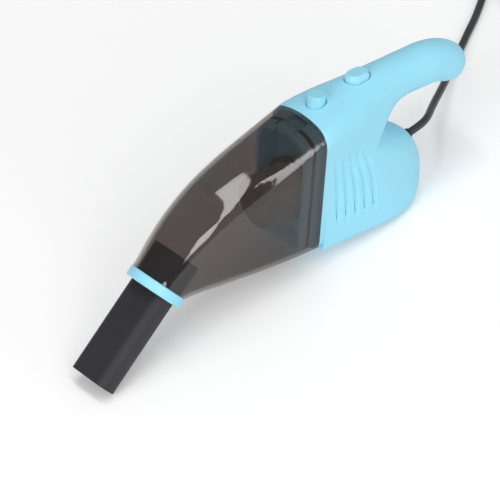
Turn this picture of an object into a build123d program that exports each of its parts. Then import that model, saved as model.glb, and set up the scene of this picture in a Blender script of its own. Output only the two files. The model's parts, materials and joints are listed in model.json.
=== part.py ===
from build123d import *
import math
import os

# Mini handheld vacuum cleaner, modelled in millimetres.
# The shapes are drawn in the body frame: X rearward, Y to the side, Z up from the flat underside,
# with the origin at the foot of the parting plane between dust cup and housing.
# At the end everything is turned into the resting frame: the nozzle's lower edge and a small
# facet under the belly stand on Z = 0, and the origin is the middle of that facet.

# Parting plane and main section
PARTING_HEIGHT = 56.6
PARTING_LEAN = 5.2
HALF_WIDTH = 17.0
BASE_HALF_WIDTH = 16.3
CORNER_R = 5.0
SHOULDER_R = 8.5
CROWN_R = 38.0
HOUSING_WALL = 2.0
CUP_WALL = 1.6

# Handle and ridge
RIDGE_TOP_Z = 62.8
RIDGE_PEAK_X = 60.0
HANDLE_R = 8.9
NECK_X = 53.0
HANDLE_BEND_X = 72.0
HANDLE_TIP_X = 81.4
HANDLE_TIP_DROP = 3.4
HANDLE_TIP_R = 8.5
HANDLE_TIP_TILT = 32.0
HANDLE_HUG = 0.97

# Bulb and pillar
BULB_HALF_WIDTH = 18.0
BULB_MID_Z = 16.9
BULB_TOP_Z = 33.9
BULB_REAR_X = 62.5
BULB_FULLNESS = 1.93
BELLY_HALF_WIDTH = 18.5
BELLY_CORNER_R = 2.6
BELLY_END_X = 53.9
BELLY_FULLNESS = 2.55
PILLAR_REAR_X = 44.4
NECK_ARC_Z = 38.0
NECK_ARC_R = 10.0
TRUNK_TOP_Z = 47.9
TRUNK_TOP_HALF_WIDTH = 10.4
TRUNK_FRONT_GAP = 2.5
WIDEST_X = 32.9
WIDEST_X_TOP = 14.0
ROUNDNESS_LOW = 2.65
ROUNDNESS_HIGH = 2.0
FACET_DEPTH = 0.3

# Dust cup and nozzle
NOZZLE_ANGLE = 42.7
NOSE_X = -68.6
NOSE_Z = 8.6
NOSE_R = 12.25
CUP_TOP_PULL = 40.0
CUP_NOSE_PULL = 38.0
CUP_TOP_SLOPE = 15.8
CUP_NOSE_SLOPE = 45.0
RING_R = 12.5
RING_THICK = 4.4
RING_EDGE = 0.7
PLUG_R = 10.2
PLUG_LENGTH = 13.0
SLIDE_FIT = 0.05
NOZZLE_WIDTH = 21.2
NOZZLE_THICK = 10.4
NOZZLE_CORNER = 4.4
NOZZLE_LENGTH = 42.3
BORE_WIDTH = 17.0
BORE_THICK = 7.0
BORE_CORNER = 3.0

# Bulkhead, gasket and filter
BULKHEAD_THICK = 1.8
BULKHEAD_FIT = 0.3
COLLAR_FIT = 0.4
COLLAR_WALL = 1.4
COLLAR_LENGTH = 9.0
GASKET_WIDTH = 1.5
GASKET_SETBACK = 4.0
GASKET_DEPTH = 0.5
GASKET_FIT = 0.2
FILTER_Z = 24.0
INLET_R = 6.5
INLET_TUBE_R = 8.0
INLET_TUBE_LENGTH = 6.5
FILTER_FLANGE_R = 13.0
FILTER_FLANGE_THICK = 2.0
FILTER_REAR_X = 0.6
FILTER_R = 11.0
FILTER_FRONT_X = -19.0
CLOTH_THICK = 0.85
CAGE_BARS = 8
CAGE_BAR = 1.2

# Buttons, latch and switch
RELEASE_X = 13.0
RELEASE_R = 3.9
RELEASE_LEAN = 4.0
RELEASE_PROUD = 4.0
RELEASE_FLANGE_R = 5.2
BUTTON_GAP = 0.3
FLANGE_THICK = 1.2
RELEASE_FLANGE_DROP = 4.6
POWER_X = 34.5
POWER_LENGTH = 11.0
POWER_WIDTH = 8.0
POWER_PROUD = 2.4
POWER_DRAFT = 0.9
POWER_FLANGE_DROP = 4.3
POWER_FLANGE_LIP = 1.2
BUTTON_EDGE = 0.5
LATCH_WIDTH = 9.3
LATCH_THICK = 1.5
LATCH_TOP_Z = 51.6
LATCH_HOOK_X = -1.9
LATCH_HOOK_LENGTH = 2.7
LATCH_HOOK_RISE = 1.6
LATCH_REAR_X = 20.2
LATCH_SLOT_GAP = 0.4
SWITCH_SIZE = 8.5
SWITCH_HEIGHT = 9.0
SWITCH_TOP_Z = 50.0
PLUNGER = 3.3
PLUNGER_GAP = 0.15
PLUNGER_SUNK = 4.0
BOARD_TAB = 3.0
BOARD_REACH = 3.8
BOARD_HALF_WIDTH = 8.0
BOARD_THICK = 1.2
BOARD_FIT = 0.2

# Motor and fan
AXIS_Z = 20.5
MOTOR_R = 12.0
MOTOR_FRONT_X = 17.0
MOTOR_LENGTH = 24.0
CAN_WALL = 1.0
END_CAP_THICK = 3.0
MAGNET_THICK = 2.0
MAGNET_HALF_ANGLE = 55.0
CORE_R = 8.3
CORE_LENGTH = 13.0
POLE_NECK = 3.6
POLE_SHOE = 1.6
POLES = 3
SHAFT_R = 1.0
BUSHING_R = 3.0
BUSHING_LENGTH = 3.0
SHAFT_FIT = 0.03
COMMUTATOR_R = 2.4
COMMUTATOR_LENGTH = 3.4
FAN_R = 12.5
FAN_HUB_R = 3.2
FAN_FRONT_X = 7.6
FAN_HEIGHT = 5.6
FAN_DISC = 1.0
BLADES = 9
BLADE_THICK = 0.8
BLADE_SWEEP = 35.0
SHROUD_WALL = 0.9
SHROUD_GAP = 0.6
SHROUD_FRONT_X = 5.6
SHROUD_EYE_R = 6.0
SHROUD_OUTLETS = 6
MOUNT_R = 14.9
MOUNT_WIDTH = 6.0
MOUNT_X = 21.5

# Screws and their bosses, as (x, z) places in the body frame
SCREW_PLACES = ((19.0, 42.0), (31.0, 36.6), (70.0, 53.6), (53.5, 10.5))
BOSS_R = 2.5
SCREW_R = 1.0
SCREW_HEAD_R = 2.0
SCREW_HEAD_THICK = 1.5
SCREW_SEAT_Y = 3.6
SCREW_GRIP = 6.0
RECESS_R = 2.25
HEX_SOCKET = 0.8

# Vents
VENTS = 5
VENT_TOP_X = 8.2
VENT_TOP_PITCH = 4.03
VENT_TOP_Z = 41.0
VENT_BOTTOM_X = 9.3
VENT_BOTTOM_PITCH = 4.62
VENT_BOTTOM_Z = 7.7
VENT_DEPTH = 1.25
VENT_RAMP = 3.3
SLIT_WIDTH = 0.75

# Cord, coil and plug
CORD_R = 1.6
GLAND_Z = 23.0
GLAND_R = 2.4
GLAND_TIP_R = 2.1
GLAND_PROUD = 1.2
GLAND_FLANGE_R = 3.4
GLAND_FLANGE_THICK = 1.2
GLAND_SETBACK = 2.2
LEAD_R = 0.35
COIL_PITCH = 3.75
COIL_TURNS = 4
COIL_MID_R = 19.2
COIL_X = 138.0
COIL_Y = 53.0
COIL_START = 130.0
PLUG_BODY = (20.0, 15.5, 7.6)
PLUG_SHELL = (18.5, 12.0, 4.5)
PLUG_SHELL_WALL = 0.4
PLUG_TONGUE_THICK = 1.9

Q = math.sqrt(0.5)
lean = math.radians(PARTING_LEAN)
nozzle_angle = math.radians(NOZZLE_ANGLE)
OUTWARD = Vector(-math.cos(nozzle_angle), 0, -math.sin(nozzle_angle))
parting_top = (PARTING_HEIGHT * math.sin(lean), PARTING_HEIGHT * math.cos(lean))


def parting_x(z):
    """X of the parting plane at a height."""
    return z * math.tan(lean)


def ridge_z(x):
    """Height of the ridge line that runs from the cup to the handle."""
    share = (RIDGE_PEAK_X - x) / (RIDGE_PEAK_X - parting_top[0])
    return RIDGE_TOP_Z - (RIDGE_TOP_Z - parting_top[1]) * share ** 2


def ease(x, start, end):
    """One at start, falling smoothly to zero at end."""
    share = min(1.0, max(0.0, (x - start) / (end - start)))
    return 0.5 + 0.5 * math.cos(math.pi * share)


def blend(share, first, last):
    return last + (first - last) * share


def rod(start, direction, radius, length):
    """Round bar from a point along a direction."""
    return Solid.make_cylinder(radius, length, Plane(origin=start, z_dir=direction))


def tube(start, direction, outer, inner, length):
    return rod(start, direction, outer, length) - rod(start, direction, inner, length)


def block(x0, x1, y0, y1, z0, z1):
    """Box between two corners."""
    return Pos((x0 + x1) / 2, (y0 + y1) / 2, (z0 + z1) / 2) * Box(x1 - x0, y1 - y0, z1 - z0)


def one(shape):
    """The single solid of a boolean result."""
    solids = shape.solids()
    return max(solids, key=lambda s: s.volume)


def hull_section(bottom, top, half_width, half_base, corner, shoulder, crown, inset=0.0):
    """Closed section between a bottom and a top point: flat foot, round corners, crowned roof."""
    up = Vector(top[0] - bottom[0], 0, top[1] - bottom[1])
    height = up.length - 2 * inset
    up = up.normalized()
    origin = Vector(bottom[0], 0, bottom[1]) + up * inset
    plane = Plane(origin=origin, x_dir=(0, 1, 0), z_dir=Vector(0, 1, 0).cross(up))
    width, base = half_width - inset, half_base - inset
    corner, shoulder, crown = corner - inset, shoulder - inset, crown - inset
    shoulder_y = width - shoulder
    crown_z = height - crown
    shoulder_z = crown_z + math.sqrt((crown - shoulder) ** 2 - shoulder_y ** 2)
    corner_y = base - corner
    rise, run = shoulder_z - corner, shoulder_y - corner_y
    tilt = math.acos((corner - shoulder) / math.hypot(run, rise)) - math.atan2(rise, run)
    roof = math.atan2(shoulder_z - crown_z, shoulder_y)

    def at(side, y, z, radius, angle):
        return plane.from_local_coords(
            Vector(side * (y + radius * math.cos(angle)), z + radius * math.sin(angle), 0))

    def outline(side):
        low = [at(side, corner_y, corner, corner, a)
               for a in (-math.pi / 2, (-math.pi / 2 - tilt) / 2, -tilt)]
        high = [at(side, shoulder_y, shoulder_z, shoulder, a)
                for a in (-tilt, (roof - tilt) / 2, roof)]
        return low, high

    (r_low, r_high), (l_low, l_high) = outline(1), outline(-1)
    peak = plane.from_local_coords(Vector(0, height, 0))
    return Wire([
        Edge.make_line(l_low[0], r_low[0]),
        Edge.make_three_point_arc(*r_low),
        Edge.make_line(r_low[2], r_high[0]),
        Edge.make_three_point_arc(*r_high),
        Edge.make_three_point_arc(r_high[2], peak, l_high[2]),
        Edge.make_three_point_arc(*reversed(l_high)),
        Edge.make_line(l_high[0], l_low[2]),
        Edge.make_three_point_arc(*reversed(l_low)),
    ])


def ridge_station(x, inset):
    """Section of the upper body at x: full height in front, handle tube behind."""
    share = ease(x, parting_top[0], RIDGE_PEAK_X)
    top = ridge_z(x)
    depth = ease(x, parting_top[0], NECK_X)
    bottom = (top - 2 * HANDLE_R) * (1 - depth)
    half_width = blend(share, HALF_WIDTH, HANDLE_R)
    half_base = blend(depth, BASE_HALF_WIDTH, half_width - 0.3 * share)
    hug = HANDLE_R * HANDLE_HUG
    corner = blend(depth, CORNER_R, hug)
    shoulder = blend(share, SHOULDER_R, hug)
    crown = max(1.02 * half_width, 1 / blend(share, 1 / CROWN_R, 1 / (1.02 * HANDLE_R)))
    foot_x = x - (parting_top[0] if x <= parting_top[0] else 1.5 * share)
    return hull_section((foot_x, bottom), (x, top), half_width, half_base,
                        corner, shoulder, crown, inset)


def round_station(x, z, radius, tilt):
    """Round section of the handle's end."""
    lean_x, lean_z = radius * math.sin(tilt), radius * math.cos(tilt)
    return hull_section((x - lean_x, z - lean_z), (x + lean_x, z + lean_z), radius, radius,
                        HANDLE_HUG * radius, HANDLE_HUG * radius, 1.02 * radius)


def upper_body(inset=0.0):
    """Ridge and handle as one loft from the parting plane to the domed handle end."""
    x0 = parting_top[0]
    stations = [x0 + (HANDLE_BEND_X - x0) * i / 8 for i in range(9)]
    wires = [ridge_station(x, inset) for x in stations]
    if inset:
        wires.insert(0, ridge_station(x0, inset).moved(Pos(-1.0, 0, 0)))
    tilt = math.radians(HANDLE_TIP_TILT)
    bend_z = ridge_z(HANDLE_BEND_X) - HANDLE_R
    tip_z = bend_z - HANDLE_TIP_DROP
    radius = HANDLE_TIP_R - inset
    wires.append(round_station(blend(0.45, HANDLE_BEND_X, HANDLE_TIP_X),
                               bend_z - 0.36 * HANDLE_TIP_DROP,
                               (HANDLE_R + HANDLE_TIP_R) / 2 - inset, 0.55 * tilt))
    for degrees in (0, 35, 60, 78):
        turn = math.radians(degrees)
        reach = radius * math.sin(turn)
        wires.append(round_station(HANDLE_TIP_X + reach * math.cos(tilt),
                                   tip_z - reach * math.sin(tilt),
                                   radius * math.cos(turn), tilt))
    return Solid.make_loft(wires)


def trunk_rear_x(z, inset=0.0):
    """Rear outline of bulb, pillar and neck, seen from the side."""
    rear = BULB_REAR_X - inset
    if z < BULB_MID_Z:
        share = min(1.0, (BULB_MID_Z - z) / (BULB_MID_Z - inset))
        return BELLY_END_X + (rear - BELLY_END_X) * math.sqrt(1 - share ** BELLY_FULLNESS)
    pillar = PILLAR_REAR_X - inset
    bulb_top = BULB_TOP_Z - inset
    if z < bulb_top:
        share = (z - BULB_MID_Z) / (bulb_top - BULB_MID_Z)
        return pillar + (rear - pillar) * (1 - share ** BULB_FULLNESS) ** (1 / BULB_FULLNESS)
    radius = NECK_ARC_R + inset
    rise = min(max(0.0, z - NECK_ARC_Z), 0.995 * radius)
    return pillar + radius - math.sqrt(radius ** 2 - rise ** 2)


def trunk_half_width(z, inset=0.0):
    if z > BULB_MID_Z:
        share = (z - BULB_MID_Z) / (TRUNK_TOP_Z - BULB_MID_Z)
        return BULB_HALF_WIDTH - inset - (BULB_HALF_WIDTH - TRUNK_TOP_HALF_WIDTH) * share ** 2
    low = (BULB_MID_Z - z) / BULB_MID_Z
    width = BULB_HALF_WIDTH + (BELLY_HALF_WIDTH - BULB_HALF_WIDTH) * low ** 2 - inset
    corner = BELLY_CORNER_R - inset
    drop = min(corner, max(0.0, BELLY_CORNER_R - z))
    return width - corner + math.sqrt(corner ** 2 - drop ** 2)


def trunk_slice(z, inset=0.0):
    """Level section of bulb and pillar: flat front, full rounded rear."""
    half, rear = trunk_half_width(z, inset), trunk_rear_x(z, inset)
    widest = blend((z / TRUNK_TOP_Z) ** 1.5, WIDEST_X_TOP, WIDEST_X)
    front = TRUNK_FRONT_GAP + parting_x(z)
    front_half = min(half, BASE_HALF_WIDTH - inset)
    power = blend(min(1.0, z / NECK_ARC_Z) ** 2, ROUNDNESS_HIGH, ROUNDNESS_LOW)

    def bow(value):
        return math.copysign(abs(value) ** (2 / power), value) if abs(value) > 1e-9 else 0.0

    turns = [math.radians(t) for t in (0, 12, 27, 45, 63, 78, 90, 102, 117, 135, 153, 168, 180)]
    arc = [Vector(widest + (rear - widest) * bow(math.sin(t)), half * bow(math.cos(t)), z)
           for t in turns]
    corners = [Vector(front, side * front_half, z) for side in (-1, 1)]
    return Wire([
        Edge.make_line(*corners),
        Edge.make_spline([corners[1], arc[0]], tangents=[(1, 0, 0), (1, 0, 0)]),
        Edge.make_spline(arc, tangents=[(1, 0, 0), (-1, 0, 0)]),
        Edge.make_spline([arc[-1], corners[0]], tangents=[(-1, 0, 0), (-1, 0, 0)]),
    ])


def trunk(inset=0.0):
    """Bulb and pillar as one loft of level sections."""
    bulb_top = BULB_TOP_Z - inset
    low = [inset + (BULB_MID_Z - inset) * s for s in (0, 0.03, 0.095, 0.18, 0.29, 0.48, 0.75, 1.0)]
    high = [BULB_MID_Z + (bulb_top - BULB_MID_Z) * s for s in (0.46, 0.76, 0.96)]
    top = TRUNK_TOP_Z - inset
    neck = [bulb_top + (top - bulb_top) * s for s in (0.2, 0.45, 0.69, 0.87, 1.0)]
    return Solid.make_loft([trunk_slice(z, inset) for z in low + high + neck])


# Resting pose: the line from the nozzle's lower edge that just touches the belly
nose = Vector(NOSE_X, 0, NOSE_Z)
UPWARD = Vector(OUTWARD.Z, 0, -OUTWARD.X)
nozzle_seat = nose + OUTWARD * RING_THICK
nozzle_tip = nozzle_seat + OUTWARD * NOZZLE_LENGTH
tip_edge = nozzle_tip - UPWARD * (NOZZLE_THICK / 2)
belly = [(trunk_rear_x(z), z) for z in [i * BULB_MID_Z / 400 for i in range(400)]]
touch_x, touch_z = min(belly, key=lambda p: math.atan2(p[1] - tip_edge.Z, p[0] - tip_edge.X))
pad = Vector(touch_x, 0, touch_z + FACET_DEPTH)
pitch = math.atan2(pad.Z - tip_edge.Z, pad.X - tip_edge.X)
TO_ROW = Rot(0, math.degrees(pitch), 0) * Pos(-pad.X, 0, -pad.Z)
TO_BODY = TO_ROW.inverse()


# Housing shells
def bosses(outer):
    """Screw bosses across the housing, trimmed to its skin."""
    posts = [rod((x, -2 * HALF_WIDTH, z), (0, 1, 0), BOSS_R, 4 * HALF_WIDTH)
             for x, z in SCREW_PLACES]
    return [one(post & outer) for post in posts]


def surface_y(shape, x, z):
    """Half width of a shape at a place."""
    line = Axis((x, 0, z), (0, 1, 0))
    return max(point.Y for point, _ in shape.find_intersection_points(line))


def vent_cutters(outer):
    """Scooped louvres with a slit behind each step, for the +Y side."""
    cutters = []
    shares = ((0.0, 0.04), (0.12, 0.75), (0.33, 1.0), (0.66, 1.0), (0.87, 0.6), (1.0, 0.04))
    for i in range(VENTS):
        top_x = VENT_TOP_X + i * VENT_TOP_PITCH
        bottom_x = VENT_BOTTOM_X + i * VENT_BOTTOM_PITCH
        wedges, slits = [], []
        for down, size in shares:
            x = blend(1 - down, top_x, bottom_x)
            z = blend(1 - down, VENT_TOP_Z, VENT_BOTTOM_Z)
            y = surface_y(outer, x, z)
            ramp = VENT_RAMP * (0.35 + 0.65 * size)
            y_ramp = surface_y(outer, x + ramp, z)
            wedges.append(Wire.make_polygon([(x, y + 1, z), (x, y - VENT_DEPTH * size, z),
                                             (x + ramp, y_ramp, z), (x + ramp, y_ramp + 1, z)]))
            if size == 1.0 or down == 0.87:
                slits.append(Wire.make_polygon([
                    (x, y, z), (x, y - 2 * HOUSING_WALL, z),
                    (x + SLIT_WIDTH, y - 2 * HOUSING_WALL, z), (x + SLIT_WIDTH, y, z)]))
        cutters += [Solid.make_loft(wedges, ruled=True), Solid.make_loft(slits, ruled=True)]
    return cutters


release_up = Vector(math.sin(math.radians(RELEASE_LEAN)), 0, math.cos(math.radians(RELEASE_LEAN)))
release_base = Vector(RELEASE_X, 0, ridge_z(RELEASE_X))
power_base = Vector(POWER_X, 0, ridge_z(POWER_X))


def oval(length, width, height, z):
    """Upright oval block, round ended along X, standing on a height at the power button."""
    face = Pos(POWER_X, 0, z) * SlotOverall(length, width)
    return extrude(face, height)


outer_body = one(upper_body() + trunk())
outer_body = one(outer_body - TO_BODY * Pos(0, 0, -10) * Box(60, 60, 20))
inner_body = one(upper_body(HOUSING_WALL) + trunk(HOUSING_WALL))
shell = outer_body - inner_body
for boss in bosses(outer_body):
    shell = shell + boss
button_holes = [
    rod(release_base - release_up * 6, release_up, RELEASE_R + BUTTON_GAP, 12),
    oval(POWER_LENGTH + 2 * BUTTON_GAP, POWER_WIDTH + 2 * BUTTON_GAP, 10, power_base.Z - 6),
]
gland_axis = Vector(math.cos(pitch), 0, math.sin(pitch))
gland_seat = Vector(trunk_rear_x(GLAND_Z), 0, GLAND_Z)
gland_hole = rod(gland_seat - gland_axis * 3 * HOUSING_WALL, gland_axis, GLAND_R, 20)
vents = vent_cutters(outer_body)
screw_holes = []
for x, z in SCREW_PLACES:
    screw_holes += [
        rod((x, -SCREW_GRIP, z), (0, 1, 0), SCREW_R, SCREW_GRIP + SCREW_SEAT_Y),
        rod((x, SCREW_SEAT_Y, z), (0, 1, 0), RECESS_R, 2 * HALF_WIDTH)]
half_space = block(-200, 200, 0, 100, -100, 200)
housing_right, housing_left = one(shell & half_space), one(shell - half_space)
for cutter in button_holes + [gland_hole] + screw_holes:
    housing_right = housing_right - cutter
    housing_left = housing_left - cutter
for vent in vents:
    housing_right = housing_right - vent
    housing_left = housing_left - mirror(vent, Plane.XZ)
housing_right, housing_left = one(housing_right), one(housing_left)


def screw(x, z):
    """Pan head screw with a hexagon socket, driven in from the right."""
    head = rod((x, SCREW_SEAT_Y, z), (0, 1, 0), SCREW_HEAD_R, SCREW_HEAD_THICK)
    shank = rod((x, -SCREW_GRIP + 0.5, z), (0, 1, 0), SCREW_R, SCREW_GRIP + SCREW_SEAT_Y - 0.5)
    floor_y = SCREW_SEAT_Y + SCREW_HEAD_THICK - HEX_SOCKET
    hexagon = Plane(origin=(x, floor_y, z), z_dir=(0, 1, 0)) * RegularPolygon(0.55 * SCREW_HEAD_R, 6)
    return one(head + shank - extrude(hexagon, HEX_SOCKET))


housing_screws = Compound([screw(x, z) for x, z in SCREW_PLACES])


# Dust cup
def cup_section(share, inset=0.0):
    """Section of the cup on a fan of planes, from the parting plane to the nose."""
    slope, end_slope = math.radians(CUP_TOP_SLOPE), math.radians(CUP_NOSE_SLOPE)
    crown_end = nose + UPWARD * NOSE_R
    foot_end = nose - UPWARD * NOSE_R
    poles = [
        parting_top,
        (parting_top[0] - CUP_TOP_PULL * math.cos(slope),
         parting_top[1] - CUP_TOP_PULL * math.sin(slope)),
        (crown_end.X + CUP_NOSE_PULL * math.cos(end_slope),
         crown_end.Z + CUP_NOSE_PULL * math.sin(end_slope)),
        (crown_end.X, crown_end.Z),
    ]
    weights = ((1 - share) ** 3, 3 * share * (1 - share) ** 2, 3 * share ** 2 * (1 - share), share ** 3)
    top = tuple(sum(w * pole[i] for w, pole in zip(weights, poles)) for i in (0, 1))
    settle = max(0.0, (share - 0.7) / 0.3) ** 2
    bottom = (foot_end.X * share, foot_end.Z * settle)
    end_r = NOSE_R - 0.25
    return hull_section(bottom, top,
                        blend(1 - share ** 2.2, HALF_WIDTH, NOSE_R),
                        blend(1 - share ** 2.2, BASE_HALF_WIDTH, NOSE_R),
                        blend(1 - share ** 1.5, CORNER_R, end_r),
                        blend(1 - share, SHOULDER_R, end_r),
                        blend(1 - share ** 0.8, CROWN_R, NOSE_R + 0.05), inset)


def cup_form(inset=0.0):
    return Solid.make_loft([cup_section(i / 6, inset) for i in range(7)])


hook_x0 = LATCH_HOOK_X - LATCH_HOOK_LENGTH / 2
hook_x1 = LATCH_HOOK_X + LATCH_HOOK_LENGTH / 2
hook_top = LATCH_TOP_Z + LATCH_HOOK_RISE
catch = block(hook_x0 - LATCH_SLOT_GAP, hook_x1 + LATCH_SLOT_GAP,
              -LATCH_WIDTH / 2 - LATCH_SLOT_GAP, LATCH_WIDTH / 2 + LATCH_SLOT_GAP,
              LATCH_TOP_Z, hook_top + 0.3)
dust_cup = one(cup_form() - cup_form(CUP_WALL) - catch)

ring_solid = tube(nose, OUTWARD, RING_R, PLUG_R + SLIDE_FIT, RING_THICK)
ring_edges = ring_solid.edges().filter_by(GeomType.CIRCLE).sort_by(SortBy.RADIUS)[-2:]
nozzle_ring = ring_solid.fillet(RING_EDGE, ring_edges)


# Nozzle
def nozzle_block(width, thick, corner, start, length):
    """Rounded bar along the nozzle's axis, from a distance outward of the ring's front."""
    plane = Plane(origin=nozzle_seat + OUTWARD * start, x_dir=(0, 1, 0), z_dir=OUTWARD)
    return extrude(plane * RectangleRounded(width, thick, corner), length)


nozzle_plug = rod(nose - OUTWARD * PLUG_LENGTH, OUTWARD, PLUG_R, PLUG_LENGTH + RING_THICK)
plug_span = PLUG_LENGTH + RING_THICK
nozzle = one(nozzle_plug
             + nozzle_block(NOZZLE_WIDTH, NOZZLE_THICK, NOZZLE_CORNER, 0, NOZZLE_LENGTH)
             - nozzle_block(BORE_WIDTH, BORE_THICK, BORE_CORNER, -plug_span - 1,
                            plug_span + NOZZLE_LENGTH + 2))


# Bulkhead with collar and inlet tube
def parting_slab(front, back):
    """Slab parallel to the parting plane, between two distances forward of it."""
    slab = Pos(-(front + back) / 2, 0, PARTING_HEIGHT / 2) * Box(front - back, 80, 120)
    return Rot(0, PARTING_LEAN, 0) * slab


plate_wire = ridge_station(parting_top[0], HOUSING_WALL + BULKHEAD_FIT)
plate = extrude(Face(plate_wire), BULKHEAD_THICK, dir=(1, 0, 0))
collar_inset = CUP_WALL + COLLAR_FIT
collar_outer = cup_form(collar_inset)
collar = (collar_outer - cup_form(collar_inset + COLLAR_WALL)) & parting_slab(COLLAR_LENGTH, -0.5)
groove_in = collar_inset + GASKET_DEPTH
gasket_slab = parting_slab(GASKET_SETBACK + GASKET_WIDTH, GASKET_SETBACK)
groove = (cup_form(CUP_WALL) - cup_form(groove_in)) & gasket_slab
cup_gasket = one((cup_form(collar_inset - GASKET_FIT) - cup_form(groove_in)) & gasket_slab)
inlet_x = parting_x(FILTER_Z)
inlet_tube = rod((inlet_x - INLET_TUBE_LENGTH, 0, FILTER_Z), (1, 0, 0), INLET_TUBE_R,
                 INLET_TUBE_LENGTH + 1.0)
inlet_hole = rod((inlet_x - 20, 0, FILTER_Z), (1, 0, 0), INLET_R, 40)
latch_notch = block(-20, 20, -LATCH_WIDTH / 2 - LATCH_SLOT_GAP, LATCH_WIDTH / 2 + LATCH_SLOT_GAP,
                    LATCH_TOP_Z - LATCH_THICK - LATCH_SLOT_GAP, 80)
bulkhead = one(plate + collar + inlet_tube - inlet_hole - groove - latch_notch)
cup_gasket = one(cup_gasket - latch_notch)

# Filter
sleeve_r = FILTER_R - CLOTH_THICK - SLIDE_FIT
frame_front = FILTER_FRONT_X + CLOTH_THICK + SLIDE_FIT


def filter_rod(x0, x1, radius):
    return rod((x0, 0, FILTER_Z), (1, 0, 0), radius, x1 - x0)


flange_front = FILTER_REAR_X - FILTER_FLANGE_THICK
sleeve_front = inlet_x - INLET_TUBE_LENGTH - 0.5
filter_frame = (filter_rod(flange_front, FILTER_REAR_X, FILTER_FLANGE_R)
                + filter_rod(sleeve_front, FILTER_REAR_X, sleeve_r)
                + filter_rod(frame_front, frame_front + CAGE_BAR, sleeve_r)
                - filter_rod(sleeve_front - 1, FILTER_REAR_X + 1, INLET_TUBE_R + SLIDE_FIT)
                - filter_rod(frame_front - 1, frame_front + 2, sleeve_r - 2 * CAGE_BAR))
for i in range(CAGE_BARS):
    bar = block(frame_front, sleeve_front + 0.5, -CAGE_BAR / 2, CAGE_BAR / 2,
                sleeve_r - CAGE_BAR, sleeve_r - 0.05)
    filter_frame = filter_frame + Pos(0, 0, FILTER_Z) * Rot(i * 360 / CAGE_BARS, 0, 0) * bar
filter_frame = one(filter_frame)
cloth_outer = filter_rod(FILTER_FRONT_X, flange_front, FILTER_R)
cloth_edge = cloth_outer.edges().sort_by(Axis.X)[:1]
filter_cloth = one(cloth_outer.fillet(CLOTH_THICK, cloth_edge)
                   - filter_rod(FILTER_FRONT_X + CLOTH_THICK, flange_front + 1, sleeve_r + SLIDE_FIT))

# Release button and latch tongue
flange_top = release_base - release_up * (RELEASE_FLANGE_DROP - 0.2)
button_top = release_base + release_up * RELEASE_PROUD
cap = rod(flange_top, release_up, RELEASE_R, (button_top - flange_top).length)
cap = cap.fillet(BUTTON_EDGE, cap.edges().sort_by(Axis.Z)[-1:])
release_flange = rod(flange_top - release_up * FLANGE_THICK, release_up, RELEASE_FLANGE_R, FLANGE_THICK)
stem_foot = Vector(RELEASE_X, 0, LATCH_TOP_Z + 0.25)
stem = rod(stem_foot, release_up, 2.0, (flange_top - stem_foot).length - 0.5)
release_button = one(cap + release_flange + stem)

tongue = block(hook_x0, LATCH_REAR_X, -LATCH_WIDTH / 2, LATCH_WIDTH / 2,
               LATCH_TOP_Z - LATCH_THICK, LATCH_TOP_Z)
hook = block(hook_x0, hook_x1, -LATCH_WIDTH / 2, LATCH_WIDTH / 2, LATCH_TOP_Z - 0.5, hook_top)
hook_slope = Pos(hook_x0, 0, hook_top) * Rot(0, 45, 0) * Box(1.6, 20, 1.6)
foot_z = SCREW_PLACES[0][1] + BOSS_R
foot = block(LATCH_REAR_X - 2, LATCH_REAR_X, -LATCH_WIDTH / 2, LATCH_WIDTH / 2,
             foot_z, LATCH_TOP_Z - LATCH_THICK + 0.5)
release_latch = one(tongue + hook + foot - hook_slope)

# Power button, switch and board
power_flange_top = power_base.Z - POWER_FLANGE_DROP
power_top = power_base.Z + POWER_PROUD
skirt = oval(POWER_LENGTH, POWER_WIDTH, power_base.Z - power_flange_top + 0.3, power_flange_top)
crest_low = Pos(POWER_X, 0, power_base.Z + 0.3) * SlotOverall(POWER_LENGTH, POWER_WIDTH)
crest_high = Pos(POWER_X, 0, power_top) * SlotOverall(
    POWER_LENGTH - 2 * POWER_DRAFT, POWER_WIDTH - 2 * POWER_DRAFT)
crest = loft([crest_low, crest_high])
power_flange = oval(POWER_LENGTH + 2 * POWER_FLANGE_LIP, POWER_WIDTH + 2 * POWER_FLANGE_LIP,
                    FLANGE_THICK, power_flange_top - FLANGE_THICK)
power_button = one(skirt + crest + power_flange)
power_button = power_button.fillet(BUTTON_EDGE, power_button.faces().sort_by(Axis.Z)[-1].edges())

switch_half = SWITCH_SIZE / 2
switch_bottom = SWITCH_TOP_Z - SWITCH_HEIGHT
well = PLUNGER / 2 + PLUNGER_GAP
power_switch = one(
    block(POWER_X - switch_half, POWER_X + switch_half, -switch_half, switch_half,
          switch_bottom, SWITCH_TOP_Z)
    - block(POWER_X - well, POWER_X + well, -well, well, SWITCH_TOP_Z - PLUNGER_SUNK - 2.5, 90))
switch_plunger = block(POWER_X - PLUNGER / 2, POWER_X + PLUNGER / 2, -PLUNGER / 2, PLUNGER / 2,
                       SWITCH_TOP_Z - PLUNGER_SUNK, power_flange_top - FLANGE_THICK)
board_x0 = POWER_X - switch_half - BOARD_TAB
tab_x1 = board_x0 + BOARD_TAB
tab_half = min(surface_y(inner_body, x, z) for x in (board_x0, tab_x1)
               for z in (switch_bottom - BOARD_THICK, switch_bottom)) - BOARD_FIT
board_bar = block(board_x0, tab_x1, -tab_half, tab_half, switch_bottom - BOARD_THICK, switch_bottom)
board_pad = block(board_x0, POWER_X + BOARD_REACH, -BOARD_HALF_WIDTH, BOARD_HALF_WIDTH,
                  switch_bottom - BOARD_THICK, switch_bottom)
switch_board = one(board_bar + board_pad)


# Motor
def axial(x0, x1, radius):
    """Bar round the motor's axis between two stations."""
    return rod((x0, 0, AXIS_Z), (1, 0, 0), radius, x1 - x0)


def about_axis(shape, degrees):
    return Pos(0, 0, AXIS_Z) * Rot(degrees, 0, 0) * Pos(0, 0, -AXIS_Z) * shape


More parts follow.
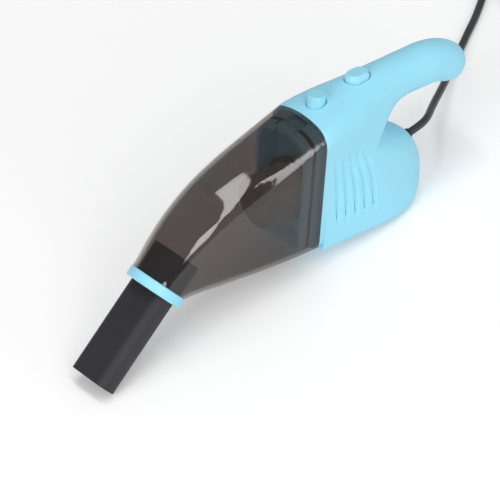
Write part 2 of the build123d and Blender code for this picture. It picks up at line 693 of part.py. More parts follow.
motor_rear = MOTOR_FRONT_X + MOTOR_LENGTH
motor_can = one(axial(MOTOR_FRONT_X, motor_rear, MOTOR_R)
                - axial(MOTOR_FRONT_X + CAN_WALL, motor_rear + 1, MOTOR_R - CAN_WALL)
                - axial(MOTOR_FRONT_X - 1, motor_rear, BUSHING_R))
front_bushing = one(axial(MOTOR_FRONT_X - 1, MOTOR_FRONT_X - 1 + BUSHING_LENGTH, BUSHING_R)
                    - axial(0, 60, SHAFT_R + SHAFT_FIT))
cap_rear = motor_rear + END_CAP_THICK
motor_end_cap = one(axial(motor_rear, cap_rear, MOTOR_R) - axial(0, 60, BUSHING_R))
rear_bushing = one(axial(cap_rear - BUSHING_LENGTH, cap_rear, BUSHING_R)
                   - axial(0, 60, SHAFT_R + SHAFT_FIT))
magnet_ring = (axial(MOTOR_FRONT_X + 3, motor_rear - 3, MOTOR_R - CAN_WALL)
               - axial(0, 60, MOTOR_R - CAN_WALL - MAGNET_THICK))
wedge_cut = block(0, 60, -30, 30, AXIS_Z, AXIS_Z + 60)
gap_side = about_axis(wedge_cut, 90 - MAGNET_HALF_ANGLE) & about_axis(wedge_cut, MAGNET_HALF_ANGLE - 90)
magnet_ring = magnet_ring - gap_side - about_axis(gap_side, 180)
motor_magnets = Compound(magnet_ring.solids())
terminal = block(cap_rear, cap_rear + 3, -1.0, 1.0, -0.2, 0.2)
terminal_offset = 0.62 * MOTOR_R
motor_terminals = Compound([
    one(Pos(0, 0, AXIS_Z + side * terminal_offset) * terminal) for side in (-1, 1)])

core_mid = (MOTOR_FRONT_X + motor_rear) / 2
core_x0, core_x1 = core_mid - CORE_LENGTH / 2, core_mid + CORE_LENGTH / 2
hub_r = 0.38 * CORE_R
core = axial(core_x0, core_x1, hub_r)
shoe_ring = axial(core_x0, core_x1, CORE_R) - axial(core_x0, core_x1, CORE_R - POLE_SHOE)
shoe_gap = block(core_x0, core_x1, -0.8, 0.8, AXIS_Z - 2 * CORE_R, AXIS_Z)
coils = []
coil_x0, coil_x1 = core_x0 - 1.8, core_x1 + 1.8
for i in range(POLES):
    turn = i * 360 / POLES
    neck = block(core_x0, core_x1, -POLE_NECK / 2, POLE_NECK / 2, AXIS_Z, AXIS_Z + CORE_R - 0.5)
    core = core + about_axis(neck, turn)
    shoe_ring = shoe_ring - about_axis(shoe_gap, turn)
    coil_top = AXIS_Z + CORE_R - POLE_SHOE - 0.2
    wound = (block(coil_x0, coil_x1, -POLE_NECK, POLE_NECK, AXIS_Z + hub_r + 0.6, coil_top)
             - block(core_x0, core_x1, -POLE_NECK / 2, POLE_NECK / 2, AXIS_Z, AXIS_Z + CORE_R))
    wound = wound & axial(coil_x0, coil_x1, CORE_R - POLE_SHOE - 0.15)
    coils.append(one(about_axis(wound, turn)))
shaft_hole = axial(0, 60, SHAFT_R)
armature_core = one(core + shoe_ring - shaft_hole)
armature_windings = Compound(coils)
commutator_x0 = coil_x1 + 0.3
commutator = one(axial(commutator_x0, commutator_x0 + COMMUTATOR_LENGTH, COMMUTATOR_R) - shaft_hole)
motor_shaft = axial(FAN_FRONT_X - 1, cap_rear + 0.6, SHAFT_R)

# Fan, shroud and motor mount
fan_rear = FAN_FRONT_X + FAN_HEIGHT
fan = axial(fan_rear - FAN_DISC, fan_rear, FAN_R) + axial(FAN_FRONT_X, fan_rear, FAN_HUB_R)
blade_mid = (FAN_HUB_R + FAN_R) / 2
blade_length = 1.12 * (FAN_R - FAN_HUB_R)
for i in range(BLADES):
    blade = Box(FAN_HEIGHT - 0.5, BLADE_THICK, blade_length)
    blade = Pos((FAN_FRONT_X + fan_rear) / 2 + 0.25 - 0.3, 0, AXIS_Z + blade_mid) * (
        Rot(BLADE_SWEEP, 0, 0) * blade)
    blade = blade & axial(FAN_FRONT_X, fan_rear - FAN_DISC + 0.3, FAN_R - 0.1)
    fan = fan + about_axis(blade, i * 360 / BLADES)
fan_impeller = one(fan - axial(0, 60, SHAFT_R))

shroud_in = FAN_R + SHROUD_GAP
shroud_out = shroud_in + SHROUD_WALL
shroud = axial(SHROUD_FRONT_X, MOTOR_FRONT_X, shroud_out)
shroud = shroud - axial(SHROUD_FRONT_X + SHROUD_WALL, MOTOR_FRONT_X - SHROUD_WALL, shroud_in)
shroud = shroud - axial(0, SHROUD_FRONT_X + 2, SHROUD_EYE_R) - axial(0, 60, BUSHING_R + 0.2)
outlet = block(FAN_FRONT_X, MOTOR_FRONT_X - 2, -3.0, 3.0, AXIS_Z + FAN_R - 2, AXIS_Z + 2 * FAN_R)
for i in range(SHROUD_OUTLETS):
    shroud = shroud - about_axis(outlet, (i + 0.5) * 360 / SHROUD_OUTLETS)
fan_shroud = one(shroud)
mount_band = axial(MOUNT_X, MOUNT_X + MOUNT_WIDTH, MOUNT_R) - axial(0, 60, MOTOR_R)
motor_mount = one(mount_band - block(0, 60, -4, 4, AXIS_Z + MOTOR_R + 1, 90))

# Cord gland, level in the resting pose
gland_back = HOUSING_WALL + GLAND_SETBACK
gland_face = gland_seat - gland_axis * (gland_back + GLAND_FLANGE_THICK)
gland_cone = Plane(origin=gland_seat + gland_axis * 0.2, z_dir=gland_axis)
cord_gland = one(
    rod(gland_seat - gland_axis * gland_back, gland_axis, GLAND_R, gland_back + 0.2)
    + rod(gland_face, gland_axis, GLAND_FLANGE_R, GLAND_FLANGE_THICK)
    + Solid.make_cone(GLAND_R, GLAND_TIP_R, GLAND_PROUD - 0.2, gland_cone))


# Cord routes
def corner_radii(points):
    """Arc radius at each inner point: 0.45 of the shorter run over the tangent of half the turn."""
    radii = []
    for before, here, after in zip(points, points[1:], points[2:]):
        first, second = here - before, after - here
        half_turn = math.radians(first.get_angle(second)) / 2
        radii.append(0.45 * min(first.length, second.length) / math.tan(half_turn))
    return radii


def swept_tube(path, radius):
    section = Wire.make_circle(radius, Plane(origin=path @ 0, z_dir=path % 0))
    return Solid.sweep(Face(section), path)


def route_tube(points, radius, name):
    """Round tube of straight runs and tangent arcs through hand-set points."""
    points = [Vector(p) for p in points]
    radii = corner_radii(points)
    path = Wire(FilletPolyline(*points, radius=radii).edges())
    solid = swept_tube(path, radius)
    exact = math.pi * radius ** 2 * path.length
    print(name, "radii", [round(r, 1) for r in radii], "length", round(path.length, 1),
          "volume ratio", round(solid.volume / exact, 4))
    return solid


board_z = switch_bottom - BOARD_THICK
side_y = MOTOR_R + 0.4
lead_top_y = BOARD_HALF_WIDTH - 1.2
terminal_x = cap_rear + 3.0


def riser(side, offset):
    """Wire up one side of the motor to the switch board."""
    return [Vector(cap_rear + 1.5, side * side_y, AXIS_Z + 3.0 + offset),
            Vector(motor_rear - 1.5, side * side_y, AXIS_Z + 6.2),
            Vector(motor_rear - 5.0, side * (side_y - 1.7), AXIS_Z + 10.5),
            Vector(motor_rear - 6.3, side * (lead_top_y + 0.6), AXIS_Z + 14.5),
            Vector(motor_rear - 6.3, side * lead_top_y, board_z - 1.8),
            Vector(motor_rear - 6.3, side * lead_top_y, board_z)]


def gland_end(offset, reach):
    """First two points of a wire that leaves the gland's inner face squarely."""
    start = gland_face + Vector(0, offset, 0)
    return [start, start - gland_axis * reach]


lead_supply = route_tube(
    gland_end(1.2, 4.0) + [Vector(cap_rear + 4.4, 6.8, AXIS_Z + 2.2)] + riser(1, 0.5),
    LEAD_R, "lead_supply")
lead_return = route_tube(
    gland_end(-1.2, 3.7) + [Vector(terminal_x + 3.7, 0, AXIS_Z - terminal_offset),
                            Vector(terminal_x, 0, AXIS_Z - terminal_offset)],
    LEAD_R, "lead_return")
lead_switched = route_tube(
    [Vector(terminal_x, 0, AXIS_Z + terminal_offset),
     Vector(terminal_x + 4.2, 0, AXIS_Z + terminal_offset),
     Vector(terminal_x + 5.0, -6.0, AXIS_Z + 5.5)] + riser(-1, 0.0), LEAD_R, "lead_switched")


# Put-away coil: two layers of a steady spiral that reverses and climbs at its inner end
def arc_pair(start, start_dir, end, end_dir):
    """Two arcs that join two points with given directions, smooth where they meet."""
    span = end - start
    both = start_dir + end_dir
    a = 2 * (1 - start_dir.dot(end_dir))
    b = 2 * span.dot(both)
    reach = (-b + math.sqrt(b * b + 4 * a * span.dot(span))) / (2 * a)
    first, second = start + start_dir * reach, end - end_dir * reach
    middle = (first + second) * 0.5
    return [Edge.make_tangent_arc(start, start_dir, middle),
            Edge.make_tangent_arc(middle, second - first, end)]


COIL_LIFT = COIL_PITCH
coil_outer_r = COIL_MID_R + COIL_TURNS * COIL_PITCH / 2
coil_inner_r = COIL_MID_R - COIL_TURNS * COIL_PITCH / 2


def coil_point(half_turns):
    """Place on the coil's centreline after a number of half turns, and its direction."""
    inward = 2 * COIL_TURNS

    def place(h):
        if h <= inward:
            radius, z = coil_outer_r - COIL_PITCH / 2 * h, CORD_R
        elif h >= inward + 1:
            radius, z = coil_inner_r + COIL_PITCH / 2 * (h - inward - 1), CORD_R + COIL_LIFT
        else:
            swing = 0.5 - 0.5 * math.cos(math.pi * (h - inward))
            dip = COIL_PITCH / 4 * math.sin(math.pi * (h - inward))
            radius, z = coil_inner_r - dip, CORD_R + COIL_LIFT * swing
        angle = math.radians(COIL_START) - math.pi * h
        return Vector(COIL_X + radius * math.cos(angle), COIL_Y + radius * math.sin(angle), z)

    step = 1e-4
    ahead = place(half_turns + step) - place(half_turns - step)
    return place(half_turns), ahead.normalized()


coil_end = 4 * COIL_TURNS + 1
knots = [i / 2 for i in range(2 * coil_end + 1)]
coil_edges = []
for h0, h1 in zip(knots, knots[1:]):
    (p0, d0), (p1, d1) = coil_point(h0), coil_point(h1)
    coil_edges += arc_pair(p0, d0, p1, d1)
coil_path = Wire(coil_edges)
cord_coil = swept_tube(coil_path, CORD_R)
samples = [coil_path @ (i / 1200) for i in range(1201)]
apart = 8 * 2 * CORD_R * 1200 / coil_path.length
least = min((samples[i] - samples[j]).length
            for i in range(0, 1201, 2) for j in range(i + int(apart), 1201, 2))
print("cord_coil length", round(coil_path.length, 1), "least gap to itself",
      round(least - 2 * CORD_R, 2))

# Lead from the gland to the coil, laid behind the object in the resting frame
gland_tip = (TO_ROW * Pos(gland_seat + gland_axis * GLAND_PROUD)).position
gland_dir = Vector(1, 0, 0)
coil_entry, entry_dir = coil_point(0)
CORD_POINTS = [
    gland_tip, gland_tip + gland_dir * 6.0, Vector(23.6, 2.6, 19.8), Vector(30.2, 8.4, 16.7),
    Vector(37.2, 14.2, 13.8), Vector(45.4, 20.4, 10.8), Vector(54.2, 27.1, 7.8),
    Vector(62.1, 33.3, 5.3), Vector(69.6, 38.9, 3.4), Vector(77.5, 44.2, 2.1),
    Vector(86.5, 49.9, 1.65), Vector(96.5, 55.6, 1.6), coil_entry - entry_dir * 12.0, coil_entry,
]
cord_lead = route_tube(CORD_POINTS, CORD_R, "cord_lead")

# Tail from the coil's outer end down to the plug beside it
coil_exit, exit_dir = coil_point(coil_end)
plug_z = PLUG_BODY[2] / 2
flat_dir = Vector(exit_dir.X, exit_dir.Y, 0).normalized()
side_dir = Vector(flat_dir.Y, -flat_dir.X, 0)
TAIL_STEPS = ((0, 0, 0), (9, 0, 0), (18, 1.8, -0.55), (27, 5.4, -1.55), (35, 10.5, -1.55))
tail_points = [coil_exit + flat_dir * a + side_dir * b + Vector(0, 0, c) for a, b, c in TAIL_STEPS]
cord_tail = route_tube(tail_points, CORD_R, "cord_tail")

# USB plug at the tail's end
plug_dir = (tail_points[-1] - tail_points[-2]).normalized()
plug_plane = Plane(origin=tail_points[-1], x_dir=Vector(plug_dir.Y, -plug_dir.X, 0), z_dir=plug_dir)


def plug_bar(width, thick, corner, start, length):
    return extrude(plug_plane.offset(start) * RectangleRounded(width, thick, corner), length)


body_length, body_width, body_thick = PLUG_BODY
shell_length, shell_width, shell_thick = PLUG_SHELL
plug_overmold = one(plug_bar(body_width, body_thick, 2.4, 0, body_length))
plug_overmold = plug_overmold.chamfer(0.8, None, plug_overmold.faces().sort_by(
    Axis(plug_plane.origin, plug_plane.z_dir))[0].edges())
inner_width = shell_width - 2 * PLUG_SHELL_WALL
inner_thick = shell_thick - 2 * PLUG_SHELL_WALL
plug_shell = one(plug_bar(shell_width, shell_thick, 0.6, body_length, shell_length)
                 - plug_bar(inner_width, inner_thick, 0.25, body_length + 6, shell_length))
tongue_plane = plug_plane.offset(body_length + 6)
plug_tongue = extrude(tongue_plane * Pos(0, (inner_thick - PLUG_TONGUE_THICK) / 2 * 0.98)
                      * Rectangle(inner_width - 0.4, PLUG_TONGUE_THICK), shell_length - 7)

IN_BODY_FRAME = {
    "housing_left": housing_left, "housing_right": housing_right, "housing_screws": housing_screws,
    "bulkhead": bulkhead, "cup_gasket": cup_gasket, "dust_cup": dust_cup,
    "nozzle_ring": nozzle_ring, "nozzle": nozzle,
    "filter_frame": filter_frame, "filter_cloth": filter_cloth,
    "release_button": release_button, "release_latch": release_latch,
    "power_button": power_button, "switch_plunger": switch_plunger,
    "power_switch": power_switch, "switch_board": switch_board,
    "motor_can": motor_can, "motor_magnets": motor_magnets, "motor_end_cap": motor_end_cap,
    "motor_terminals": motor_terminals, "front_bushing": front_bushing,
    "rear_bushing": rear_bushing, "motor_shaft": motor_shaft, "armature_core": armature_core,
    "armature_windings": armature_windings, "commutator": commutator,
    "fan_impeller": fan_impeller, "fan_shroud": fan_shroud, "motor_mount": motor_mount,
    "cord_gland": cord_gland, "lead_supply": lead_supply, "lead_return": lead_return,
    "lead_switched": lead_switched,
}
IN_ROW_FRAME = {
    "cord_lead": cord_lead, "cord_coil": cord_coil, "cord_tail": cord_tail,
    "plug_overmold": plug_overmold, "plug_shell": plug_shell, "plug_tongue": plug_tongue,
}

os.makedirs("parts", exist_ok=True)
for name, shape in IN_BODY_FRAME.items():
    export_step(TO_ROW * shape, f"parts/{name}.step")
for name, shape in IN_ROW_FRAME.items():
    export_step(shape, f"parts/{name}.step")

print("pitch", round(math.degrees(pitch), 4), "pad in body frame", round(pad.X, 3), round(pad.Z, 3))
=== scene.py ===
import json
import math

import bmesh
import bpy
from mathutils import Matrix, Vector


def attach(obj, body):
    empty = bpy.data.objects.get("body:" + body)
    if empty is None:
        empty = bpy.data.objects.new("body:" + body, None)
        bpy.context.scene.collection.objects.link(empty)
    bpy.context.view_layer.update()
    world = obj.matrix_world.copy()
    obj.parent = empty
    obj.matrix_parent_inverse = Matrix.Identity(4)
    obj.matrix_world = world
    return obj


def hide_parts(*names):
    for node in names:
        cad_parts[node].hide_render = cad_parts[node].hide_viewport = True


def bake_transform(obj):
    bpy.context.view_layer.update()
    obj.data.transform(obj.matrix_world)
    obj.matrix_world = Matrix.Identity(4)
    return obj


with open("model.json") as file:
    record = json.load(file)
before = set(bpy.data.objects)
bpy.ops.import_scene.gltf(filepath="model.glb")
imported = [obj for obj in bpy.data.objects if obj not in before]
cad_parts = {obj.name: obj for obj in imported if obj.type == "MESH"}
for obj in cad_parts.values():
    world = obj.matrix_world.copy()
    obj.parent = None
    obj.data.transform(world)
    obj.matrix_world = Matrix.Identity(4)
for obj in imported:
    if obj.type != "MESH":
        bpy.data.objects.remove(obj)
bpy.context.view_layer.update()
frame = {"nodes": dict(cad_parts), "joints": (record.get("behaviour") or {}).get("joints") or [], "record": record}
nodes = frame["nodes"]
joints = {joint["name"]: joint for joint in frame["joints"]}

# The body's own axes in the row frame, from the motor's axis
MOTOR_PLACE = Vector((7.6, 0.0, 20.5))
body_x = Vector(joints["fan_spin"]["axis"])
body_z = Vector((-body_x.z, 0.0, body_x.x))
motor_row = Vector(joints["fan_spin"]["pos_m"])


def turned(direction):
    """A direction of the body's frame in the row frame."""
    x, y, z = direction
    return body_x * x + Vector((0.0, y, 0.0)) + body_z * z


def placed(point):
    """A place of the body's frame, in millimetres, in the row frame, in metres."""
    return motor_row + turned(Vector(point) - MOTOR_PLACE) / 1000


# Camera: the aim is a place and the two ways are directions of the body's frame. The distance
# and the width of what it sees there are in metres, and its sensor is in millimetres
CAMERA_AIM = (-22.15, 0.0, 2.97)
CAMERA_DISTANCE = 1.6
VIEW_WIDTH = 0.2
SENSOR_WIDTH = 36.0
WAY_TO_CAMERA, WAY_RIGHT = (-0.519, -0.643, 0.563), (0.771, -0.637, -0.0155)
toward = turned(WAY_TO_CAMERA).normalized()
right = turned(WAY_RIGHT).normalized()
up = toward.cross(right).normalized()
right = up.cross(toward).normalized()
camera_data = bpy.data.cameras.new("camera")
camera_data.sensor_width = SENSOR_WIDTH
camera_data.lens = SENSOR_WIDTH * CAMERA_DISTANCE / VIEW_WIDTH
camera_data.clip_start, camera_data.clip_end = 0.05, 20.0
camera = bpy.data.objects.new("camera", camera_data)
bpy.context.scene.collection.objects.link(camera)
camera_turn = Matrix((right, up, toward)).transposed().to_4x4()
camera_place = placed(CAMERA_AIM) + toward * CAMERA_DISTANCE
camera.matrix_world = Matrix.Translation(camera_place) @ camera_turn
bpy.context.scene.camera = camera


# Cord: the same route as the solids follow, in millimetres
CORD_D = 3.2
COIL_X, COIL_Y, COIL_START = 138.0, 53.0, 130.0
COIL_MID_R, COIL_PITCH, COIL_TURNS = 19.2, 3.75, 4
COIL_STEPS = 16
coil_outer = COIL_MID_R + COIL_TURNS * COIL_PITCH / 2
coil_inner = COIL_MID_R - COIL_TURNS * COIL_PITCH / 2


def coil_place(half_turns, spread=1.0):
    """Centreline of the put-away coil: in along the floor, up at the middle, out on top."""
    inward = 2 * COIL_TURNS
    if half_turns <= inward:
        radius, z = coil_outer - COIL_PITCH / 2 * half_turns, CORD_D / 2
    elif half_turns >= inward + 1:
        radius = coil_inner + COIL_PITCH / 2 * (half_turns - inward - 1)
        z = CORD_D / 2 + COIL_PITCH
    else:
        share = half_turns - inward
        radius = coil_inner - COIL_PITCH / 4 * math.sin(math.pi * share)
        z = CORD_D / 2 + COIL_PITCH * (0.5 - 0.5 * math.cos(math.pi * share))
    angle = math.radians(COIL_START) - math.pi * half_turns
    radius *= spread
    return Vector((COIL_X + radius * math.cos(angle), COIL_Y + radius * math.sin(angle), z))


def coil_heading(half_turns):
    """Direction in which the coil's centreline runs."""
    step = 1e-4
    return (coil_place(half_turns + step) - coil_place(half_turns - step)).normalized()


GLAND_END, GLAND_STEP = (61.16, 0.0, 23.0), 1.2
STRAIGHT_OUT, STRAIGHT_IN = 6.0, 12.0
SPREAD_POWER = 0.66  # the spline cuts its corners, so the coil's points lie a little wider
cord_exit = placed(GLAND_END) * 1000 + Vector((GLAND_STEP, 0.0, 0.0))
entry, entry_way = coil_place(0), coil_heading(0)
route = [cord_exit, cord_exit + Vector((STRAIGHT_OUT, 0.0, 0.0))]
route += [Vector(p) for p in (
    (23.6, 2.6, 19.8), (30.2, 8.4, 16.7), (37.2, 14.2, 13.8), (45.4, 20.4, 10.8),
    (54.2, 27.1, 7.8), (62.1, 33.3, 5.3), (69.6, 38.9, 3.4), (77.5, 44.2, 2.1),
    (86.5, 49.9, 1.65), (96.5, 55.6, 1.6))]
route += [entry - entry_way * STRAIGHT_IN]
coil_end = 4 * COIL_TURNS + 1
overreach = 1 / math.cos(math.pi / COIL_STEPS) ** SPREAD_POWER
coil_points = coil_end * COIL_STEPS // 2
route += [coil_place(i * 2 / COIL_STEPS, overreach) for i in range(coil_points + 1)]
leave = coil_heading(coil_end)
ahead = Vector((leave.x, leave.y, 0.0)).normalized()
aside = Vector((ahead.y, -ahead.x, 0.0))
TAIL_STEPS = ((9, 0, 0), (18, 1.8, -0.55), (27, 5.4, -1.55), (35, 10.5, -1.55))
coil_exit = coil_place(coil_end)
route += [coil_exit + ahead * a + aside * b + Vector((0, 0, c)) for a, b, c in TAIL_STEPS]

curve = bpy.data.curves.new("cord_cable", "CURVE")
curve.dimensions = "3D"
spline = curve.splines.new("NURBS")
spline.points.add(len(route) - 1)
for point, place in zip(spline.points, route):
    point.co = (*(place / 1000), 1.0)
    point.radius = CORD_D / 2000  # in metres, so that the curve's own box is right
spline.order_u = 3
spline.use_endpoint_u = True
spline.resolution_u = 8
curve.bevel_depth = 1.0
curve.bevel_resolution = 6
curve.use_fill_caps = True
cord_cable = bpy.data.objects.new("cord_cable", curve)
bpy.context.scene.collection.objects.link(cord_cable)
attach(cord_cable, "housing")
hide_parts("cord_lead", "cord_coil", "cord_tail")

# Latch tongue: the real one bends down where the button's stem presses it; here the latch is only copied and cut
# into bands from its root
slots = {row["node"]: row["material_slot"] for row in frame["record"]["subparts"]}
TONGUE_ROOT, TONGUE_PRESSED = placed((20.0, 0.0, 51.0)), placed((15.2, 0.0, 51.0))
TONGUE_BANDS, BAND_LENGTH = 14, 0.0006
bands = bmesh.new()
bands.from_mesh(nodes["release_latch"].data)
for band in range(TONGUE_BANDS):
    bmesh.ops.bisect_plane(bands, geom=bands.verts[:] + bands.edges[:] + bands.faces[:],
                           plane_co=TONGUE_ROOT - body_x * (band * BAND_LENGTH), plane_no=body_x)
tongue_mesh = bpy.data.meshes.new("latch_tongue")
bands.to_mesh(tongue_mesh)
bands.free()
latch_tongue = bpy.data.objects.new("latch_tongue", tongue_mesh)
bpy.context.scene.collection.objects.link(latch_tongue)
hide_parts("release_latch")
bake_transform(latch_tongue)


# Materials
class Shader:
    """Small helper that builds a node tree from words."""

    def __init__(self, name):
        self.material = bpy.data.materials.new(name)
        self.material.use_nodes = True
        self.tree = self.material.node_tree
        self.tree.nodes.clear()
        self.output = self.tree.nodes.new("ShaderNodeOutputMaterial")
        self.coords = self.tree.nodes.new("ShaderNodeTexCoord").outputs["Object"]

    def node(self, kind, inputs=None, **settings):
        node = self.tree.nodes.new("ShaderNode" + kind)
        for key, value in settings.items():
            setattr(node, key, value)
        for key, value in (inputs or {}).items():
            if isinstance(value, bpy.types.NodeSocket):
                self.tree.links.new(value, node.inputs[key])
            else:
                node.inputs[key].default_value = value
        return node

    def noise(self, scale, detail=3.0, rough=0.55, vector=None):
        return self.node("TexNoise", {"Vector": vector or self.coords, "Scale": scale,
                                      "Detail": detail, "Roughness": rough}).outputs["Fac"]

    def spread(self, value, low, high):
        """Maps the middle of a noise value to a range."""
        return self.node("MapRange", {"Value": value, "From Min": 0.3, "From Max": 0.7,
                                      "To Min": low, "To Max": high}).outputs["Result"]

    def mixed(self, factor, first, second):
        node = self.tree.nodes.new("ShaderNodeMix")
        node.data_type = "RGBA"
        for index, value in ((0, factor), (6, first), (7, second)):
            if isinstance(value, bpy.types.NodeSocket):
                self.tree.links.new(value, node.inputs[index])
            else:
                node.inputs[index].default_value = value
        return node.outputs[2]

    def bump(self, height, strength, distance):
        return self.node("Bump", {"Height": height, "Strength": strength,
                                  "Distance": distance}).outputs["Normal"]

    def surface(self, shader):
        self.tree.links.new(shader, self.output.inputs["Surface"])
        return self.material


def rgba(color):
    return (*color, 1.0)


def shade(color, factor):
    return rgba([min(1.0, channel * factor) for channel in color])


def moulded(name, color, rough=0.4, grain=900.0, depth=0.00002, drift=0.04):
    """Moulded plastic or rubber: slow colour drift, fine grain and uneven gloss."""
    s = Shader(name)
    tone = s.mixed(s.spread(s.noise(35.0, 2.0), 0.0, 1.0),
                   shade(color, 1 - drift), shade(color, 1 + drift))
    fine = s.noise(grain, 4.0)
    principled = s.node("BsdfPrincipled", {
        "Base Color": tone, "Specular IOR Level": 0.5,
        "Roughness": s.spread(s.noise(120.0, 3.0), rough - 0.04, rough + 0.05),
        "Normal": s.bump(fine, 0.25, depth)})
    return s.surface(principled.outputs["BSDF"])


def metal(name, color, rough=0.3, stretch=(60.0, 900.0, 900.0)):
    """Drawn or plated metal with fine streaks."""
    s = Shader(name)
    streaks = s.node("Mapping", {"Vector": s.coords, "Scale": stretch}).outputs["Vector"]
    lines = s.noise(1.0, 3.0, vector=streaks)
    tone = s.mixed(s.spread(s.noise(90.0), 0.0, 1.0), shade(color, 0.9), shade(color, 1.05))
    principled = s.node("BsdfPrincipled", {
        "Base Color": tone, "Metallic": 1.0,
        "Roughness": s.spread(lines, rough - 0.08, rough + 0.1),
        "Normal": s.bump(lines, 0.1, 0.00001)})
    return s.surface(principled.outputs["BSDF"])


def smoked(name):
    """Smoke-tinted clear plastic: brown tint that drifts, a little haze, clean reflections.

    A wall is crossed by way of two surfaces, so each holds the square root of its tint.
    """
    s = Shader(name)
    drift = s.spread(s.noise(14.0, 1.0), 0.0, 1.0)
    clear = s.node("BsdfTransparent", {
        "Color": s.mixed(drift, rgba((0.575, 0.56, 0.555)), rgba((0.615, 0.55, 0.525)))})
    haze = s.node("BsdfPrincipled", {
        "Base Color": s.mixed(drift, rgba((0.10, 0.10, 0.11)), rgba((0.12, 0.10, 0.095))),
        "Roughness": 0.3, "Specular IOR Level": 0.0})
    dust = s.spread(s.noise(500.0, 4.0), 0.03, 0.07)
    body = s.node("MixShader", {0: dust, 1: clear.outputs[0], 2: haze.outputs["BSDF"]})
    wipe = s.bump(s.noise(60.0, 2.0), 0.06, 0.0004)
    gloss = s.node("BsdfGlossy", {
        "Color": rgba((0.95, 0.95, 0.95)), "Roughness": 0.05, "Normal": wipe})
    # Reflection rises the same way on both faces of a wall, so no slanted wall turns opaque
    slant = s.node("LayerWeight", {"Blend": 0.5, "Normal": wipe}).outputs["Facing"]
    steep = s.node("Math", {0: slant, 1: 5.0}, operation="POWER").outputs[0]
    mirror = s.node("Math", {0: steep, 1: 0.95, 2: 0.05}, operation="MULTIPLY_ADD").outputs[0]
    both = s.node("MixShader", {0: mirror, 1: body.outputs[0], 2: gloss.outputs[0]})
    return s.surface(both.outputs[0])


def cloth(name):
    """Pleated filter cloth with specks of dust."""
    s = Shader(name)
    weave = s.node("TexVoronoi", {"Vector": s.coords, "Scale": 1100.0}).outputs["Distance"]
    specks = s.node("MapRange", {"Value": s.noise(700.0, 2.0), "From Min": 0.62, "From Max": 0.7})
    tone = s.mixed(s.spread(s.noise(160.0), 0.0, 1.0),
                   rgba((0.21, 0.16, 0.13)), rgba((0.30, 0.24, 0.20)))
    tone = s.mixed(specks.outputs["Result"], tone, rgba((0.05, 0.04, 0.035)))
    principled = s.node("BsdfPrincipled", {
        "Base Color": tone, "Roughness": 0.9, "Sheen Weight": 0.2,
        "Normal": s.bump(weave, 0.5, 0.0002)})
    return s.surface(principled.outputs["BSDF"])


SKY = (0.335, 0.765, 0.945)
made = {
    "blue_shell": moulded("sky_shell", SKY, rough=0.45, drift=0.015),
    "blue_trim": moulded("sky_trim", SKY, rough=0.38, drift=0.015),
    "smoke_clear": smoked("smoke_clear"),
    "black_rubber": moulded("soft_rubber", (0.022, 0.0205, 0.026), rough=0.55, grain=1400.0,
                            depth=0.00004, drift=0.15),
    "filter_cloth": cloth("filter_cloth"),
    "black_plastic": moulded("dark_plastic", (0.022, 0.022, 0.025), rough=0.35),
    "cord_jacket": moulded("cord_jacket", (0.045, 0.045, 0.055), rough=0.42, grain=1600.0,
                           drift=0.08),
    "steel_can": metal("zinc_plate", (0.62, 0.62, 0.64)),
    "dark_steel": metal("dark_steel", (0.17, 0.17, 0.18), rough=0.45, stretch=(3000.0, 60.0, 60.0)),
    "magnet": moulded("ferrite", (0.06, 0.06, 0.065), rough=0.7, grain=2000.0, drift=0.2),
    "brass_metal": metal("brass_metal", (0.80, 0.62, 0.30), rough=0.28),
    "copper_wire": metal("copper_wire", (0.75, 0.40, 0.22), rough=0.32,
                         stretch=(2500.0, 300.0, 300.0)),
    "green_board": moulded("circuit_board", (0.03, 0.20, 0.09), rough=0.35),
    "white_plastic": moulded("white_plastic", (0.78, 0.78, 0.76), rough=0.4, drift=0.03),
    "red_wire": moulded("red_wire", (0.55, 0.03, 0.02), rough=0.4),
    "dark_wire": moulded("dark_wire", (0.03, 0.03, 0.035), rough=0.4),
    "plug_steel": metal("plug_steel", (0.72, 0.72, 0.73), rough=0.22),
}
for name, slot in slots.items():
    nodes[name].data.materials.clear()
    nodes[name].data.materials.append(made[slot])
tongue_mesh.materials.append(made[slots["release_latch"]])
curve.materials.append(made["cord_jacket"])

# Shading of the carried-over solids: an edge that turns more than this stays sharp
SHARP_ANGLE = math.radians(28)
for part in [*nodes.values(), latch_tongue]:
    part.data.shade_smooth()
    part.data.set_sharp_from_angle(angle=SHARP_ANGLE)

# Floor, lamps and backdrop
FLOOR_SIZE, FLOOR_DROP = 12.0, 0.0002
FLOOR_LIFT = 0.165  # how much the floor glows where it is seen, which lights nothing
WORLD_STRENGTH = 0.262
floor_mesh = bpy.data.meshes.new("floor")
h = FLOOR_SIZE / 2
floor_mesh.from_pydata([(-h, -h, 0), (h, -h, 0), (h, h, 0), (-h, h, 0)], [], [(0, 1, 2, 3)])
floor = bpy.data.objects.new("floor", floor_mesh)
bpy.context.scene.collection.objects.link(floor)
floor.location.z = -FLOOR_DROP
floor_shader = Shader("pale_floor")
floor_tone = floor_shader.mixed(floor_shader.noise(3.0),
                                rgba((0.91, 0.91, 0.91)), rgba((0.94, 0.94, 0.94)))
matt = floor_shader.node("BsdfPrincipled", {"Base Color": floor_tone, "Roughness": 0.8,
                                            "Specular IOR Level": 0.1})
rays = floor_shader.node("LightPath").outputs
seen = rays["Is Camera Ray"]
for kind in ("Is Glossy Ray", "Is Transmission Ray"):
    seen = floor_shader.node("Math", {0: seen, 1: rays[kind]}, operation="MAXIMUM").outputs[0]
lift = floor_shader.node("Math", {0: seen, 1: FLOOR_LIFT}, operation="MULTIPLY")
glow = floor_shader.node("Emission", {"Strength": lift.outputs[0]})
whole = floor_shader.node("AddShader", {0: matt.outputs["BSDF"], 1: glow.outputs[0]})
floor_mesh.materials.append(floor_shader.surface(whole.outputs[0]))

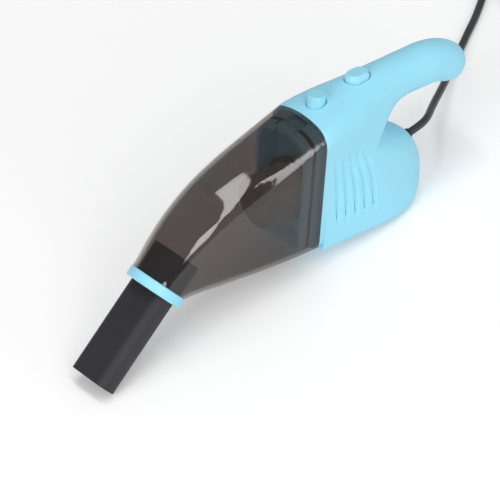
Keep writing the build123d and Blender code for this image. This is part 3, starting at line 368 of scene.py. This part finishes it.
world = bpy.data.worlds.new("studio")
bpy.context.scene.world = world
world.use_nodes = True
soft = world.node_tree.nodes["Background"]
soft.inputs["Color"].default_value = (1.0, 1.0, 1.0, 1.0)
soft.inputs["Strength"].default_value = WORLD_STRENGTH


def lamp(name, place, facing, long_way, size, power):
    """Rectangular lamp: size is its width, then its length along long_way."""
    data = bpy.data.lights.new(name, "AREA")
    data.shape = "RECTANGLE"
    data.size, data.size_y = size
    data.energy = power
    lit = bpy.data.objects.new(name, data)
    bpy.context.scene.collection.objects.link(lit)
    back = -Vector(facing).normalized()
    across = Vector(long_way).cross(back).normalized()
    along = back.cross(across)
    turn = Matrix((across, along, back)).transposed().to_4x4()
    lit.matrix_world = Matrix.Translation(place) @ turn


def around(azimuth, height, distance):
    """A place seen from the cup at an azimuth and a height, in degrees, and its direction."""
    a, e = math.radians(azimuth), math.radians(height)
    way = Vector((math.cos(a) * math.cos(e), math.sin(a) * math.cos(e), math.sin(e)))
    return CUP_PLACE + way * distance, -way


# A long strip overhead, a soft box at the front and a thin upright strip, where the cup's
# highlights show them, and a larger box beyond the nose, which the cup doesn't mirror
# towards the camera
CUP_PLACE = placed((-75.0, -10.0, 50.0))
REACH = 2.5  # how far off the lamps stand, in metres at the height of the strip
lamp("overhead_strip", CUP_PLACE + Vector((0.02, -0.52, 1.0)) * REACH, (0.0, 0.0, -1.0),
     (0.136, 0.99, 0.0), (0.2 * REACH, 1.76 * REACH), 6.4 * REACH ** 2)
lamp("front_box", *around(-104.0, 26.0, 1.1 * REACH), (0.0, 0.0, 1.0),
     (0.27 * REACH, 0.42 * REACH), 2.23 * REACH ** 2)
lamp("upright_strip", *around(-71.0, 27.0, 1.1 * REACH), (0.0, 0.0, 1.0),
     (0.06 * REACH, 1.1 * REACH), 1.16 * REACH ** 2)
lamp("nose_box", *around(-165.0, 30.0, 1.1 * REACH), (0.0, 0.0, 1.0),
     (0.58 * REACH, 0.58 * REACH), 4.07 * REACH ** 2)

bpy.context.scene.view_settings.view_transform = "Standard"
